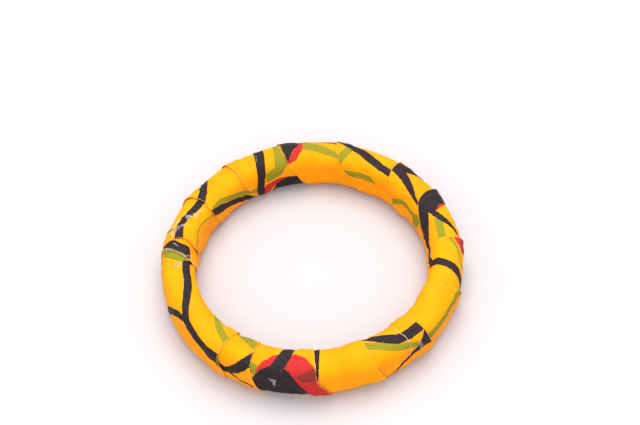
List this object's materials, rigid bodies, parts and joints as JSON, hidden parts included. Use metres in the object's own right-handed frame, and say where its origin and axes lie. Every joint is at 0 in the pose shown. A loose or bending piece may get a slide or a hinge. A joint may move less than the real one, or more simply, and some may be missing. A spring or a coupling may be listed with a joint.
{
  "type": "bangle bracelet",
  "caption": "Rigid round bangle: a wooden ring wound with overlapping turns of a glued printed cotton strip, worn on the wrist.",
  "frame": {"origin": "on the ring's axis, on the surface that the ring lies on", "axes": "+Z along the ring's axis, upwards; +X towards the right of the front view, -Y towards the front"},
  "size_m": [0.0842, 0.0839, 0.0128],
  "materials": {
    "printed_cotton": "wax-printed plain-weave cotton, glued down, slightly glossy where glue has dried on it",
    "core_wood": "turned and sanded, unvarnished, hidden",
    "dried_glue": "clear dried white glue, hidden",
    "raw_thread": "undyed cotton thread"
  },
  "bodies": {
    "root": {"core_ring": "core_wood", "glue_layer": "dried_glue", "wrap_turn_01": "printed_cotton", "wrap_turn_02": "printed_cotton", "wrap_turn_03": "printed_cotton", "wrap_turn_04": "printed_cotton", "wrap_turn_05": "printed_cotton", "wrap_turn_06": "printed_cotton", "wrap_turn_07": "printed_cotton", "wrap_turn_08": "printed_cotton", "wrap_turn_09": "printed_cotton", "wrap_turn_10": "printed_cotton", "wrap_turn_11": "printed_cotton", "wrap_turn_12": "printed_cotton", "wrap_turn_13": "printed_cotton", "wrap_turn_14": "printed_cotton", "wrap_turn_15": "printed_cotton", "loose_threads": "raw_thread"}
  },
  "joints": []
}
